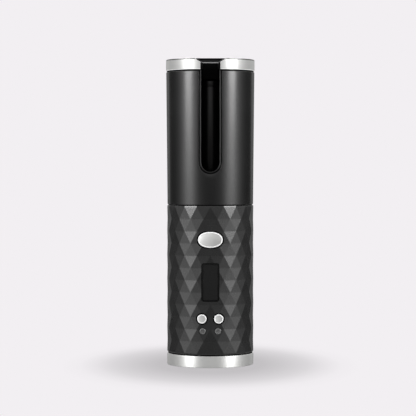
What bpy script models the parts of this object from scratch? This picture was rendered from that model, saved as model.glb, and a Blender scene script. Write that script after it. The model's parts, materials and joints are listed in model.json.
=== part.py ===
"""Automatic hair curler, standing on its base.

Frame: +Z up along the curler's axis, origin at the centre of the base's resting face, the hair slot
and the controls face -Y. Sizes below are in millimetres and become metres when a mesh is made.

A lock of hair is laid in the notch of the top ring and in the slot of the barrel. The rotor (cap,
cage and internal ring gear) turns round the heating barrel and winds the hair on. A small gear
motor in the handle turns the rotor through a pinion. The handle holds two cells, the control board,
a rocker that picks the direction and two push buttons.
"""

import math

import bmesh
import bpy

MM = 0.001

# ---- driving dimensions (mm) -----------------------------------------------------------------
HEIGHT = 205.0                  # to the top ring's upper edge
SEAM = 0.4                      # visible joint line between two casings
REST_GAP = 0.3                  # clearance between pieces that rest on each other

BASE_RING_R = 29.15
BASE_RING_TOP = 8.3
HANDLE_FOOT = BASE_RING_TOP + SEAM
HANDLE_TOP = 106.9
HANDLE_BORE_R = 26.9
BARREL_FOOT = HANDLE_TOP + SEAM
BARREL_FOOT_R = 28.9
BARREL_TOP_R = 29.75
BARREL_BORE_R = 27.5
TOP_RING_FOOT = 197.9
BARREL_TOP = TOP_RING_FOOT - SEAM
TOP_RING_R = 29.85
TOP_RING_LIP_R = 26.3

FACET_COLUMNS = 20
FACET_ROWS = 12
FACET_LOW_R = 29.1              # corners of the even rows
FACET_HIGH_R = 29.15            # corners of the odd rows, which stand a hair proud
FACET_EDGE = 0.35               # chamfer at the handle's two ends

SLOT_HALF = 7.9                 # slot in the outer barrel
SLOT_CENTRE_Z = 136.5           # centre of its round end
LINER_OUTER_R = 27.2
LINER_INNER_R = 26.2
LINER_TOP = 200.0
LIP_OUTER_R = 28.8
LIP_HALF = 7.6
MOUTH_HALF = 6.15               # clear width inside the liner's lip
SLOT_CUT = (-34.0, -15.0)       # depth of the slot cutters, front to back

NOTCH_HALF = 6.6                # gap in the top ring
NOTCH_BACK_HALF = 4.8
NOTCH_BACK_Y = -15.3            # flat back wall of the cap's notch
NOTCH_FLARE_HALF = 11.3
NOTCH_FLARE_DEPTH = 2.2
NOTCH_BACK_FLARE_HALF = 6.9
NOTCH_BACK_FLARE_Y = -13.0

ROTOR_R = 25.7
CAP_R = 25.9
CAP_HUB_R = 16.2
CAP_TOP = HEIGHT - 0.2          # at the cap's rim
CROWN_TOP = HEIGHT + 0.9        # flat middle of the cap, a little higher than its rim
CROWN_R = 15.5
CAP_PLATE_FOOT = 198.4
CAP_FOOT = 192.0
CAGE_FOOT = 117.4
CAGE_OPENING = 55.0             # half angle of the cage's opening, degrees

GEAR_MODULE = 1.0
RING_TEETH = 44
PINION_TEETH = 10
GEAR_CENTRE = GEAR_MODULE * (RING_TEETH - PINION_TEETH) / 2
GEAR_FOOT = 112.0
GEAR_TOP = 117.1
CAM_TOP = 113.5
CAM_TRACK_R = 21.9

DECK_FOOT = 107.5
DECK_TOP = 110.8
MOTOR_SCREW_X = 4.4
HEATER_R = 12.0
HEATER_BORE_R = 10.8
HEATER_FOOT = 121.3
HEATER_TOP = 187.0
TIP_TOP = 191.4
PIVOT_R = 3.0
PIVOT_TOP = 197.0

ROCKER_Z = 85.1
ROCKER_WIDTH = 16.85
ROCKER_HEIGHT = 10.8
ROCKER_PIVOT_Y = -24.2
ROCKER_FACE_Y = -30.0
ROCKER_BACK_Y = -25.95          # clears the ears when the rocker is tipped
EAR_FRONT_Y = -25.6
EAR_REACH = 5.2                 # ears above and below the rocker's middle
PIN_R = 0.95
PIN_BORE_R = 1.15
NUB_X = 5.5                     # nubs that reach back to the direction switches
NUB_TIP_Y = -20.95
BUTTON_X = 5.6
BUTTON_Z = 32.7
BUTTON_R = 3.53
BUTTON_FACE_Y = -29.3
LENS_X = 5.1
LENS_Z = 24.5
LENS_R = 2.03
LENS_FACE_Y = -28.95
WINDOW_Z = 56.9
WINDOW_WIDTH = 11.0
WINDOW_HEIGHT = 25.6
WINDOW_FACE_Y = -27.6

BOARD_FRONT_Y = -16.0
BOARD_THICK = 1.6
BOARD_TOP = 96.0
FRAME_FRONT_Y = -22.4
FRAME_BACK_Y = -21.0
SWITCH_TIP_Y = -20.4
CELL_R = 9.1
CELL_LENGTH = 65.0
CELL_X = 9.6
CELL_Y = 8.0
CELL_FOOT = 15.0
BOSS_CIRCLE_R = 19.0

ROUND = 60                      # segments of the casings
INNER_ROUND = 36                # segments of the round pieces inside
SMALL_ROUND = 20


# ---- tools -----------------------------------------------------------------------------------
def clear_scene():
    for obj in list(bpy.data.objects):
        bpy.data.objects.remove(obj, do_unlink=True)


def material(name, colour, roughness, metallic=0.0):
    mat = bpy.data.materials.get(name)
    if mat is None:
        mat = bpy.data.materials.new(name)
        mat.use_nodes = True
        shader = mat.node_tree.nodes["Principled BSDF"]
        shader.inputs["Base Color"].default_value = (*colour, 1.0)
        shader.inputs["Roughness"].default_value = roughness
        shader.inputs["Metallic"].default_value = metallic
    return mat


def black_casing():
    return material("black_casing", (0.022, 0.022, 0.024), 0.35)


def barrel_black():
    return material("barrel_black", (0.016, 0.016, 0.017), 0.36)


def brushed_silver():
    return material("brushed_silver", (0.72, 0.72, 0.71), 0.3, 1.0)


def dark_plastic():
    return material("dark_plastic", (0.03, 0.03, 0.03), 0.5)


def black_ceramic():
    return material("black_ceramic", (0.018, 0.018, 0.018), 0.28)


def window_glass():
    return material("window_glass", (0.006, 0.006, 0.007), 0.08)


def lens_plastic():
    return material("lens_plastic", (0.12, 0.12, 0.12), 0.2)


def steel():
    return material("steel", (0.6, 0.6, 0.6), 0.3, 1.0)


def aluminium():
    return material("aluminium", (0.75, 0.75, 0.76), 0.35, 1.0)


def bronze():
    return material("bronze", (0.55, 0.36, 0.14), 0.35, 1.0)


def white_gear():
    return material("gear_plastic", (0.8, 0.79, 0.74), 0.4)


def green_board():
    return material("circuit_board", (0.02, 0.16, 0.06), 0.45)


def cell_wrap():
    return material("cell_wrap", (0.03, 0.2, 0.45), 0.4)


def make_object(name, points, faces, mat, origin=(0.0, 0.0, 0.0)):
    """One mesh object from points in millimetres, measured from its origin (also in mm)."""
    bm = bmesh.new()
    verts = [bm.verts.new([value * MM for value in point]) for point in points]
    for face in faces:
        bm.faces.new([verts[index] for index in face])
    unused = [vert for vert in verts if not vert.link_faces]
    bmesh.ops.delete(bm, geom=unused, context="VERTS")
    bmesh.ops.recalc_face_normals(bm, faces=bm.faces)
    mesh = bpy.data.meshes.new(name)
    bm.to_mesh(mesh)
    bm.free()
    obj = bpy.data.objects.new(name, mesh)
    obj.location = [value * MM for value in origin]
    bpy.context.scene.collection.objects.link(obj)
    if mat is not None:
        mesh.materials.append(mat)
    mesh.shade_smooth()
    mesh.set_sharp_from_angle(angle=math.radians(30))
    return obj


def revolve(name, profile, mat, segments=ROUND, start=0.0, sweep=360.0, origin=(0.0, 0.0, 0.0)):
    """A closed (r, z) profile turned round Z; a sweep under 360 degrees gets flat ends.

    A level stretch that starts or ends on the axis becomes one flat disc.
    """
    full = sweep >= 360.0
    columns = segments if full else segments + 1
    points = []
    rings = []
    on_axis = {}
    for column in range(columns):
        angle = math.radians(start + sweep * column / segments)
        ring = []
        for r, z in profile:
            if r == 0.0:
                if z not in on_axis:
                    on_axis[z] = len(points)
                    points.append((0.0, 0.0, z))
                ring.append(on_axis[z])
            else:
                ring.append(len(points))
                points.append((r * math.cos(angle), r * math.sin(angle), z))
        rings.append(ring)
    faces = []
    for index in range(len(profile)):
        follow = (index + 1) % len(profile)
        touches_axis = 0.0 in (profile[index][0], profile[follow][0])
        if full and touches_axis and profile[index][1] == profile[follow][1]:
            edge = index if profile[index][0] > 0.0 else follow
            faces.append([ring[edge] for ring in rings])
            continue
        for column in range(segments):
            here = rings[column]
            after = rings[(column + 1) % columns]
            corners = [here[index], after[index], after[follow], here[follow]]
            face = list(dict.fromkeys(corners))
            if len(face) > 2:
                faces.append(face)
    if not full:
        faces.append(rings[0])
        faces.append(rings[-1])
    return make_object(name, points, faces, mat, origin)


def tube(name, inner, outer, foot, top, mat, segments=INNER_ROUND, origin=(0.0, 0.0, 0.0)):
    profile = [(inner, foot), (outer, foot), (outer, top), (inner, top)]
    return revolve(name, profile, mat, segments, origin=origin)


def rod(name, radius, foot, top, mat, segments=SMALL_ROUND, origin=(0.0, 0.0, 0.0)):
    return prism(name, circle(radius, segments), foot, top, "Z", mat, origin)


def prism(name, outline, low, high, axis, mat, origin=(0.0, 0.0, 0.0)):
    """An outline pushed along one axis. Outline pairs are (x, z) for Y and (x, y) for Z."""
    def place(pair, depth):
        if axis == "Y":
            return (pair[0], depth, pair[1])
        return (pair[0], pair[1], depth)

    count = len(outline)
    points = [place(pair, low) for pair in outline] + [place(pair, high) for pair in outline]
    faces = [list(range(count)), list(range(count, 2 * count))]
    for index in range(count):
        follow = (index + 1) % count
        faces.append([index, follow, count + follow, count + index])
    return make_object(name, points, faces, mat, origin)


def box(name, x_range, y_range, z_range, mat, origin=(0.0, 0.0, 0.0)):
    outline = [(x_range[0], y_range[0]), (x_range[1], y_range[0])]
    outline += [(x_range[1], y_range[1]), (x_range[0], y_range[1])]
    return prism(name, outline, z_range[0], z_range[1], "Z", mat, origin)


def circle(radius, count=SMALL_ROUND, centre=(0.0, 0.0)):
    turns = [2 * math.pi * (step + 0.5) / count for step in range(count)]
    return [(centre[0] + radius * math.cos(turn), centre[1] + radius * math.sin(turn)) for turn in turns]


def superellipse(width, height, count=36, power=2.35, centre=(0.0, 0.0)):
    """A soft oval, a little squarer than an ellipse."""
    points = []
    for step in range(count):
        turn = 2 * math.pi * (step + 0.5) / count
        c, s = math.cos(turn), math.sin(turn)
        x = width / 2 * math.copysign(abs(c) ** (2 / power), c)
        z = height / 2 * math.copysign(abs(s) ** (2 / power), s)
        points.append((centre[0] + x, centre[1] + z))
    return points


def rounded_rectangle(width, height, radius, centre=(0.0, 0.0), steps=4):
    points = []
    corners = [(1, 1, 0), (-1, 1, 90), (-1, -1, 180), (1, -1, 270)]
    for side_x, side_z, first in corners:
        middle_x = centre[0] + side_x * (width / 2 - radius)
        middle_z = centre[1] + side_z * (height / 2 - radius)
        for step in range(steps + 1):
            angle = math.radians(first + 90 * step / steps)
            points.append((middle_x + radius * math.cos(angle), middle_z + radius * math.sin(angle)))
    return points


def slot_outline(half, top, steps=16):
    """Upright slot with a round lower end, as (x, z) pairs."""
    points = [(half, top), (-half, top)]
    for step in range(steps + 1):
        angle = math.pi + math.pi * step / steps
        points.append((half * math.cos(angle), SLOT_CENTRE_Z + half * math.sin(angle)))
    return points


def helper(obj, operation, other):
    """Boolean with a hidden helper shape."""
    modifier = obj.modifiers.new(operation.lower(), "BOOLEAN")
    modifier.operation = operation
    modifier.solver = "EXACT"
    modifier.object = other
    other.hide_render = True
    other.display_type = "WIRE"
    return obj


def cut(obj, *others):
    for other in others:
        helper(obj, "DIFFERENCE", other)
    return obj


def fuse(obj, *others):
    for other in others:
        helper(obj, "UNION", other)
    return obj


def mirrored(function):
    """Call a builder for the left side (-1) and the right side (+1)."""
    for side, word in ((-1, "left"), (1, "right")):
        function(side, word)


# ---- base ------------------------------------------------------------------------------------
def base_ring():
    lip_r, lip_top = 25.9, 1.2
    foot_edge, top_edge = 0.65, 0.4
    profile = [(lip_r, 0.0), (BASE_RING_R - foot_edge, 0.0), (BASE_RING_R, foot_edge)]
    profile += [(BASE_RING_R, BASE_RING_TOP - top_edge), (BASE_RING_R - top_edge, BASE_RING_TOP)]
    profile += [(HANDLE_BORE_R, BASE_RING_TOP)]
    profile += [(HANDLE_BORE_R, lip_top), (lip_r, lip_top)]
    revolve("base_ring", profile, brushed_silver())


def boss_places():
    """The three bosses that take the base screws: left, right and rear."""
    for word, degrees in (("left", 200.0), ("right", 340.0), ("rear", 90.0)):
        angle = math.radians(degrees)
        yield word, (BOSS_CIRCLE_R * math.cos(angle), BOSS_CIRCLE_R * math.sin(angle))


def base_cap():
    foot, floor_top, rim_top = 1.5, 3.5, 12.5
    outer = HANDLE_BORE_R - REST_GAP
    inner = outer - 1.6
    profile = [(0.0, foot), (outer, foot), (outer, rim_top), (inner, rim_top), (inner, floor_top)]
    profile += [(0.0, floor_top)]
    cap = revolve("base_cap", profile, dark_plastic(), INNER_ROUND)
    port = rounded_rectangle(9.6, 3.9, 1.5)
    cut(cap, prism("port_opening", port, 0.0, 5.0, "Z", None))
    for word, (x, y) in boss_places():
        cut(cap, rod("screw_hole_" + word, 1.6, 0.0, 5.0, None, origin=(x, y, 0.0)))


def base_screws():
    for word, (x, y) in boss_places():
        head = [(0.0, 1.3), (0.7, 0.3), (2.4, 0.3), (2.6, 0.7), (2.4, 1.2)]
        shank = [(1.2, 1.2), (1.2, 10.4), (0.0, 11.6)]
        revolve("base_screw_" + word, head + shank, steel(), 16, origin=(x, y, 0.0))


def usb_port():
    shell = prism("usb_port", rounded_rectangle(8.9, 3.2, 1.4), 1.8, 9.1, "Z", steel())
    cut(shell, prism("usb_mouth", rounded_rectangle(8.2, 2.5, 1.1), 1.0, 7.6, "Z", None))


def charge_board():
    box("charge_board", (-11.0, 11.0), (-7.0, 7.0), (9.4, 10.6), green_board())


# ---- handle ----------------------------------------------------------------------------------
def facet_ring(radius, z, shifted):
    step = 2 * math.pi / FACET_COLUMNS
    first = -math.pi / 2 + (step / 2 if shifted else 0.0)
    return [(radius * math.cos(first + step * k), radius * math.sin(first + step * k), z)
            for k in range(FACET_COLUMNS)]


def faceted_column(name, mat):
    """Solid column whose sides are a lattice of triangles between shifted rings of corners."""
    low, high = HANDLE_FOOT + FACET_EDGE, HANDLE_TOP - FACET_EDGE
    rings = [facet_ring(FACET_LOW_R - FACET_EDGE, HANDLE_FOOT, False)]
    for row in range(FACET_ROWS + 1):
        odd = row % 2 == 1
        z = low + (high - low) * row / FACET_ROWS
        rings.append(facet_ring(FACET_HIGH_R if odd else FACET_LOW_R, z, odd))
    rings.append(facet_ring(FACET_LOW_R - FACET_EDGE, HANDLE_TOP, False))

    count = FACET_COLUMNS
    points = [point for ring in rings for point in ring]
    faces = [list(range(count)), list(range(len(points) - count, len(points)))]
    for row in range(len(rings) - 1):
        lower, upper = row * count, (row + 1) * count
        band_is_plain = row == 0 or row == len(rings) - 2
        lower_is_shifted = row % 2 == 0
        for k in range(count):
            after = (k + 1) % count
            if band_is_plain:
                faces.append([lower + k, lower + after, upper + after, upper + k])
            elif lower_is_shifted:
                faces.append([lower + k, upper + after, upper + k])
                faces.append([lower + k, lower + after, upper + after])
            else:
                faces.append([lower + k, lower + after, upper + k])
                faces.append([lower + after, upper + after, upper + k])
    return make_object(name, points, faces, mat)


def handle_shell():
    shell = faceted_column("handle_shell", black_casing())
    front = (-32.0, -20.0)
    cut(shell, rod("handle_bore", HANDLE_BORE_R, 0.0, 120.0, None, ROUND))
    rocker = superellipse(ROCKER_WIDTH + 1.2, ROCKER_HEIGHT + 1.2, centre=(0.0, ROCKER_Z))
    cut(shell, prism("rocker_opening", rocker, *front, "Y", None))
    window = rounded_rectangle(WINDOW_WIDTH, WINDOW_HEIGHT, 1.2, (0.0, WINDOW_Z))
    cut(shell, prism("window_opening", window, *front, "Y", None))

    def round_openings(side, word):
        button = circle(BUTTON_R + 0.6, centre=(side * BUTTON_X, BUTTON_Z))
        cut(shell, prism("button_opening_" + word, button, *front, "Y", None))
        lens = circle(LENS_R + 0.25, centre=(side * LENS_X, LENS_Z))
        cut(shell, prism("lens_opening_" + word, lens, *front, "Y", None))

    mirrored(round_openings)


def chassis():
    """Upright plate with a lower shelf on three screw bosses and an upper shelf over the cells."""
    body = box("chassis", (-20.0, 20.0), (-3.6, -2.0), (13.0, BOARD_TOP), dark_plastic())

    def shelf(name, foot, top):
        arc = [math.radians(-6.5 + 193.0 * step / 24) for step in range(25)]
        outline = [(25.6 * math.cos(angle), 25.6 * math.sin(angle)) for angle in arc]
        return prism(name, outline, foot, top, "Z", None)

    fuse(body, shelf("lower_shelf", 13.2, 14.7))
    fuse(body, shelf("upper_shelf", 80.6, 82.3))
    for word, (x, y) in boss_places():
        fuse(body, rod("boss_" + word, 3.2, 4.2, 14.2, None, origin=(x, y, 0.0)))
        cut(body, rod("boss_hole_" + word, 1.5, 3.0, 12.4, None, 16, origin=(x, y, 0.0)))


def batteries():
    def cell(side, word):
        top = CELL_FOOT + CELL_LENGTH
        profile = [(0.0, CELL_FOOT), (CELL_R - 0.6, CELL_FOOT), (CELL_R, CELL_FOOT + 0.6)]
        profile += [(CELL_R, top - 1.2), (CELL_R - 0.8, top - 0.6)]
        profile += [(3.0, top - 0.6), (3.0, top), (0.0, top)]
        revolve("battery_" + word, profile, cell_wrap(), 24, origin=(side * CELL_X, CELL_Y, 0.0))

    mirrored(cell)


# ---- controls --------------------------------------------------------------------------------
def control_board():
    back = BOARD_FRONT_Y + BOARD_THICK
    box("control_board", (-18.0, 18.0), (BOARD_FRONT_Y, back), (16.0, BOARD_TOP), green_board())


def tact_switch(name, x, z):
    foot = BOARD_FRONT_Y - REST_GAP
    body = box(name, (x - 3.0, x + 3.0), (-19.8, foot), (z - 3.0, z + 3.0), dark_plastic())
    fuse(body, prism(name + "_plunger", circle(1.7, 16, (x, z)), SWITCH_TIP_Y, -19.0, "Y", None))


def switches():
    tact_switch("direction_switch_left", -NUB_X, ROCKER_Z)
    tact_switch("direction_switch_right", NUB_X, ROCKER_Z)
    tact_switch("timer_switch", -BUTTON_X, BUTTON_Z)
    tact_switch("temperature_switch", BUTTON_X, BUTTON_Z)


def indicators():
    def indicator(side, word):
        x = side * LENS_X
        stem = prism("indicator_lens_" + word, circle(LENS_R, 24, (x, LENS_Z)), LENS_FACE_Y, -18.4, "Y",
                     lens_plastic())
        fuse(stem, prism("lens_collar_" + word, circle(2.7, 24, (x, LENS_Z)), -24.6, -23.4, "Y", None))
        box("indicator_led_" + word, (x - 1.5, x + 1.5), (-17.9, BOARD_FRONT_Y - REST_GAP),
            (LENS_Z - 1.0, LENS_Z + 1.0), lens_plastic())

    mirrored(indicator)


def display():
    module_foot = BOARD_FRONT_Y - REST_GAP
    foot, top = WINDOW_Z - 12.3, WINDOW_Z + 12.3
    box("display_module", (-5.2, 5.2), (-25.7, module_foot), (foot, top), dark_plastic())
    pane = rounded_rectangle(WINDOW_WIDTH - 0.6, WINDOW_HEIGHT - 0.6, 0.9, (0.0, WINDOW_Z))
    prism("display_window", pane, WINDOW_FACE_Y, -26.1, "Y", window_glass())


def control_frame():
    """Channel behind the handle's front, on the board, with two ears for the rocker's pin."""
    outer, inner = 14.2, 12.8
    foot = BOARD_FRONT_Y - REST_GAP
    channel = [(-outer, foot), (-outer, FRAME_FRONT_Y), (outer, FRAME_FRONT_Y), (outer, foot)]
    channel += [(inner, foot), (inner, FRAME_BACK_Y), (-inner, FRAME_BACK_Y), (-inner, foot)]
    frame = prism("control_frame", channel, 18.0, BOARD_TOP, "Z", dark_plastic())
    through = (-26.0, -19.5)
    window = rounded_rectangle(11.2, 25.4, 0.8, (0.0, WINDOW_Z))
    cut(frame, prism("frame_window", window, *through, "Y", None))

    def ear_and_holes(side, word):
        z = ROCKER_Z + side * EAR_REACH
        ear = box("ear_" + word, (-2.0, 2.0), (EAR_FRONT_Y, -21.8), (z - 0.7, z + 0.7), None)
        fuse(frame, ear)
        holes = [(NUB_X, ROCKER_Z, 2.2), (BUTTON_X, BUTTON_Z, 2.2), (LENS_X, LENS_Z, 2.4)]
        for number, (x, hole_z, radius) in enumerate(holes):
            outline = circle(radius, 20, (side * x, hole_z))
            cut(frame, prism(f"frame_hole_{word}_{number}", outline, *through, "Y", None))

    mirrored(ear_and_holes)
    foot, top = ROCKER_Z - EAR_REACH - 2.0, ROCKER_Z + EAR_REACH + 2.0
    cut(frame, rod("ear_bore", PIN_BORE_R, foot, top, None, 16, (0.0, ROCKER_PIVOT_Y, 0.0)))


def rocker_pin():
    foot, top = ROCKER_Z - EAR_REACH - 1.0, ROCKER_Z + EAR_REACH + 1.0
    rod("rocker_pin", PIN_R, foot, top, steel(), 16, (0.0, ROCKER_PIVOT_Y, 0.0))


def domed_button(name, rings, back_y, mat, origin):
    """Closed button from a back face and rings of (x, y, z) points that step in to the face."""
    count = len(rings[0])
    points = [(x, back_y, z) for x, _, z in rings[0]]
    for ring in rings:
        points += ring
    faces = [list(range(count))]
    for row in range(len(rings)):
        lower, upper = row * count, (row + 1) * count
        for k in range(count):
            after = (k + 1) % count
            faces.append([lower + k, lower + after, upper + after, upper + k])
    faces.append(list(range(len(points) - count, len(points))))
    return make_object(name, points, faces, mat, origin)


def direction_rocker():
    """Oval cap that follows the handle's curve; it tips left and right on the pin."""
    def face_ring(scale, drop):
        outline = superellipse(ROCKER_WIDTH * scale, ROCKER_HEIGHT * scale)
        centre_y = ROCKER_FACE_Y - ROCKER_PIVOT_Y
        curve_r = -ROCKER_FACE_Y
        return [(x, centre_y + curve_r - math.sqrt(curve_r ** 2 - x * x) + drop, z) for x, z in outline]

    rings = [face_ring(1.0, 0.9), face_ring(0.97, 0.35), face_ring(0.88, 0.2), face_ring(0.45, 0.0)]
    origin = (0.0, ROCKER_PIVOT_Y, ROCKER_Z)
    back = ROCKER_BACK_Y - ROCKER_PIVOT_Y
    root = back - 0.8
    rocker = domed_button("direction_rocker", rings, back, brushed_silver(), origin)
    fuse(rocker, box("rocker_hub", (-2.1, 2.1), (root, 1.4), (-3.9, 3.9), None, origin))

    def nub(side, word):
        outline = circle(1.2, 12, (side * NUB_X, 0.0))
        tip = NUB_TIP_Y - ROCKER_PIVOT_Y
        fuse(rocker, prism("rocker_nub_" + word, outline, root, tip, "Y", None, origin))

    mirrored(nub)
    cut(rocker, rod("rocker_bore", PIN_BORE_R, -5.0, 5.0, None, 16, origin))


def push_button(name, side):
    x = side * BUTTON_X
    origin = (x, BUTTON_FACE_Y, BUTTON_Z)
    rings = []
    for radius, drop in ((BUTTON_R, 0.5), (BUTTON_R - 0.45, 0.0)):
        rings.append([(px, drop, pz) for px, pz in circle(radius, 24)])
    button = domed_button(name, rings, 5.0, brushed_silver(), origin)
    flange_foot, flange_top, stem_tip = 4.9, 5.7, 8.0
    fuse(button, prism(name + "_flange", circle(4.5, 24), flange_foot, flange_top, "Y", None, origin))
    fuse(button, prism(name + "_stem", circle(1.5, 16), flange_foot + 0.3, stem_tip, "Y", None, origin))


# ---- drive -----------------------------------------------------------------------------------
def drive_deck():
    """Bulkhead between handle and barrel, with a collar that reaches down inside the handle."""
    hole_r, rim_r = 7.5, 27.2
    collar_foot, collar_out = 98.0, HANDLE_BORE_R - REST_GAP
    collar_in = collar_out - 1.7
    profile = [(hole_r, DECK_FOOT), (collar_in, DECK_FOOT), (collar_in, collar_foot)]
    profile += [(collar_out, collar_foot), (collar_out, DECK_FOOT), (rim_r, DECK_FOOT)]
    profile += [(rim_r, DECK_TOP), (hole_r, DECK_TOP)]
    deck = revolve("drive_deck", profile, dark_plastic(), INNER_ROUND)
    cut(deck, rod("shaft_hole", 2.2, 105.0, 112.0, None, 20, (0.0, GEAR_CENTRE, 0.0)))

    def screw_hole(side, word):
        place = (side * MOTOR_SCREW_X, GEAR_CENTRE, 0.0)
        cut(deck, rod("deck_screw_hole_" + word, 1.1, 105.0, 112.0, None, 12, place))

    mirrored(screw_hole)


def motor_and_gearbox():
    can = []
    for x, y in circle(6.0, 32):
        can.append((x, max(-5.0, min(5.0, y))))
    origin = (0.0, GEAR_CENTRE, 0.0)
    prism("motor", can, 82.9, 97.2, "Z", steel(), origin)
    gearbox = prism("gearbox", rounded_rectangle(12.0, 10.0, 0.8), 97.5, HANDLE_TOP, "Z", bronze(), origin)
    cut(gearbox, rod("gearbox_bore", 1.9, 99.5, 110.0, None, 16, origin))

    def screw(side, word):
        place = (side * MOTOR_SCREW_X, GEAR_CENTRE, 0.0)
        cut(gearbox, rod("gearbox_tap_" + word, 1.1, 103.0, 110.0, None, 12, place))
        shaft = [(0.0, 103.4), (0.8, 103.8), (0.8, DECK_TOP + 0.3), (1.5, DECK_TOP + 0.3)]
        head = [(1.5, DECK_TOP + 1.2), (0.0, DECK_TOP + 1.2)]
        revolve("motor_screw_" + word, shaft + head, steel(), 12, origin=place)

    mirrored(screw)


def motor_shaft():
    rod("motor_shaft", 1.5, 100.0, GEAR_TOP, steel(), 16, (0.0, GEAR_CENTRE, 0.0))


def gear_outline(teeth, tip_r, root_r, tip_share, root_share, phase):
    """Straight-sided teeth; the shares are the parts of a pitch that are solid at tip and root."""
    pitch = 2 * math.pi / teeth
    points = []
    for tooth in range(teeth):
        centre = phase + tooth * pitch
        corners = [(root_r, -root_share), (tip_r, -tip_share), (tip_r, tip_share), (root_r, root_share)]
        for radius, share in corners:
            angle = centre + share * pitch / 2
            points.append((radius * math.cos(angle), radius * math.sin(angle)))
    return points


def drive_pinion():
    pitch_r = GEAR_MODULE * PINION_TEETH / 2
    outline = gear_outline(PINION_TEETH, pitch_r + 0.8, pitch_r - 1.1, 0.2, 0.6, math.pi / 2)
    origin = (0.0, GEAR_CENTRE, 0.0)
    pinion = prism("drive_pinion", outline, CAM_TOP + 0.3, GEAR_TOP - 0.2, "Z", bronze(), origin)
    cut(pinion, rod("pinion_bore", 1.75, 110.0, 120.0, None, 16, origin))


def ring_gear():
    """Internal gear over a smooth cam track with one notch that marks the home place."""
    pitch_r = GEAR_MODULE * RING_TEETH / 2
    disc = [(0.0, GEAR_FOOT), (ROTOR_R, GEAR_FOOT), (ROTOR_R, GEAR_TOP), (0.0, GEAR_TOP)]
    gear = revolve("ring_gear", disc, white_gear(), INNER_ROUND)
    space = gear_outline(RING_TEETH, pitch_r + 1.05, pitch_r - 0.75, 0.36, 0.72, math.pi / 2)
    cut(gear, prism("tooth_space", space, CAM_TOP, 120.0, "Z", None))
    cut(gear, rod("cam_track", CAM_TRACK_R, 110.0, CAM_TOP + 0.05, None, INNER_ROUND))
    cut(gear, prism("cam_notch", circle(3.0, 20, (0.0, -20.1)), 110.0, CAM_TOP - 0.1, "Z", None))


def thrust_ring():
    tube("thrust_ring", 21.5, 25.5, DECK_TOP + REST_GAP, GEAR_FOOT - REST_GAP, aluminium())


def home_switch():
    foot = DECK_TOP + REST_GAP
    body = box("home_switch", (-4.0, 4.0), (-18.6, -12.6), (foot, CAM_TOP + 1.0), dark_plastic())
    fuse(body, box("home_lever", (-1.0, 1.0), (-21.2, -18.0), (GEAR_FOOT + 0.2, CAM_TOP - 0.3), None))


def rotor_cage():
    """Wall round three quarters of the chamber, with hooked leading edges, on a full ring."""
    cage = tube("rotor_cage", 24.1, ROTOR_R, CAGE_FOOT, 121.0, dark_plastic())
    start, end = -90.0 + CAGE_OPENING, 270.0 - CAGE_OPENING
    steps = 32

    def arc(radius, first, last, count):
        angles = [math.radians(first + (last - first) * step / count) for step in range(count + 1)]
        return [(radius * math.cos(angle), radius * math.sin(angle)) for angle in angles]

    hook = 5.0
    outline = arc(25.4, start, end, steps)
    outline += arc(22.6, end, end - hook, 2)
    outline += arc(24.4, end - hook, start + hook, steps)
    outline += arc(22.6, start + hook, start, 2)
    fuse(cage, prism("cage_wall", outline, 120.2, CAP_PLATE_FOOT - REST_GAP, "Z", None))


def notch_cutter():
    """Channel that narrows from the rim to its back wall and opens out in a chamfer at the top."""
    rim_y = -34.0
    chamfer_foot = HEIGHT - NOTCH_FLARE_DEPTH
    over = 2.0
    grow = (NOTCH_FLARE_DEPTH + over) / NOTCH_FLARE_DEPTH

    def level(z, rim_half, back_half, back_y):
        return [(-rim_half, rim_y, z), (rim_half, rim_y, z), (back_half, back_y, z), (-back_half, back_y, z)]

    flare_rim = NOTCH_HALF + (NOTCH_FLARE_HALF - NOTCH_HALF) * grow
    flare_back = NOTCH_BACK_HALF + (NOTCH_BACK_FLARE_HALF - NOTCH_BACK_HALF) * grow
    flare_y = NOTCH_BACK_Y + (NOTCH_BACK_FLARE_Y - NOTCH_BACK_Y) * grow
    rings = [level(CAP_FOOT - 2.0, NOTCH_HALF, NOTCH_BACK_HALF, NOTCH_BACK_Y)]
    rings.append(level(chamfer_foot, NOTCH_HALF, NOTCH_BACK_HALF, NOTCH_BACK_Y))
    rings.append(level(HEIGHT + over, flare_rim, flare_back, flare_y))
    points = [point for ring in rings for point in ring]
    faces = [[0, 1, 2, 3], [8, 9, 10, 11]]
    for row in range(2):
        for k in range(4):
            after = (k + 1) % 4
            faces.append([row * 4 + k, row * 4 + after, row * 4 + 4 + after, row * 4 + 4 + k])
    return points, faces


def rotor_cap():
    edge = 0.5
    bore_r, bore_top = 5.3, 198.6
    profile = [(bore_r, CAP_FOOT), (CAP_HUB_R, CAP_FOOT), (CAP_HUB_R, CAP_PLATE_FOOT)]
    profile += [(CAP_R, CAP_PLATE_FOOT), (CAP_R, CAP_TOP - edge), (CAP_R - edge, CAP_TOP)]
    profile += [(CROWN_R, CROWN_TOP), (0.0, CROWN_TOP), (0.0, bore_top), (bore_r, bore_top)]
    cap = revolve("rotor_cap", profile, black_casing(), INNER_ROUND)
    points, faces = notch_cutter()
    cut(cap, make_object("cap_notch", points, faces, None))
    roof = 202.0
    hub_pocket = [(7.2, CAP_FOOT - 2.0), (13.6, CAP_FOOT - 2.0), (13.6, roof), (7.2, roof)]
    cut(cap, revolve("hub_pocket", hub_pocket, None, 30, start=4.0))
    plate_pocket = [(17.8, CAP_FOOT), (23.6, CAP_FOOT), (23.6, roof), (17.8, roof)]
    cut(cap, revolve("plate_pocket", plate_pocket, None, 30, start=-57.0, sweep=294.0))


def rotor_bush():
    tube("rotor_bush", PIVOT_R + 0.15, 5.0, CAP_FOOT + 0.5, 198.2, bronze(), 32)


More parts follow.
